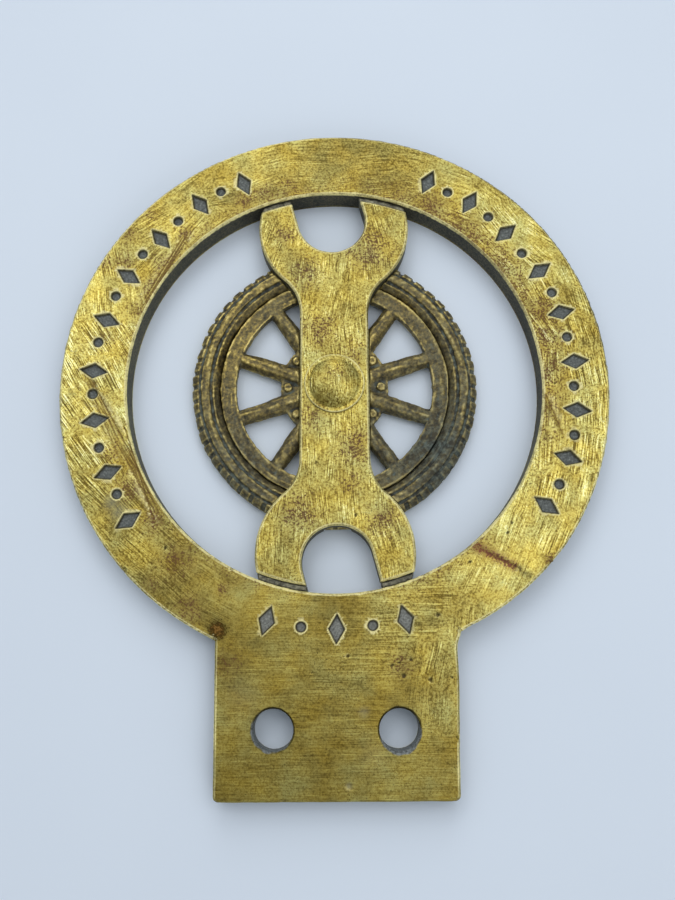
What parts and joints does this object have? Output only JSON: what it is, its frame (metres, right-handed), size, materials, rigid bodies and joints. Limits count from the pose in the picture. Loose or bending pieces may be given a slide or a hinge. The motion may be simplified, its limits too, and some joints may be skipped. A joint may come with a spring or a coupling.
{
  "type": "motoring club car badge",
  "caption": "Flat brass openwork car badge: a ring on a drilled mounting tab, with a double-ended spanner lapped over a spoked road wheel inside the ring.",
  "frame": {"origin": "midway between the two fixing holes, on the back face of the tab", "axes": "+Z out of the front face along the fixing holes, +Y from the tab to the top of the ring, +X to the right seen from the front"},
  "size_m": [0.095, 0.1156, 0.0064],
  "materials": {
    "filed_brass": "hand filed, worn and lightly oxidised",
    "brushed_brass": "fine horizontal brushing, tarnished",
    "polished_brass": "filed flat and polished, worn",
    "cast_bronze": "as cast, dark patina with rubbed high points",
    "braze": "filed flush",
    "solder": "dull grey, lightly oxidised"
  },
  "bodies": {
    "root": {"ring": "filed_brass", "mounting_tab": "brushed_brass", "left_braze_seam": "braze", "right_braze_seam": "braze", "spanner": "polished_brass", "tyre": "cast_bronze", "wheel_spider": "cast_bronze", "lap_solder": "solder", "hub_cap": "polished_brass", "upper_jaw_solder": "solder", "lower_jaw_solder": "solder"}
  },
  "joints": []
}
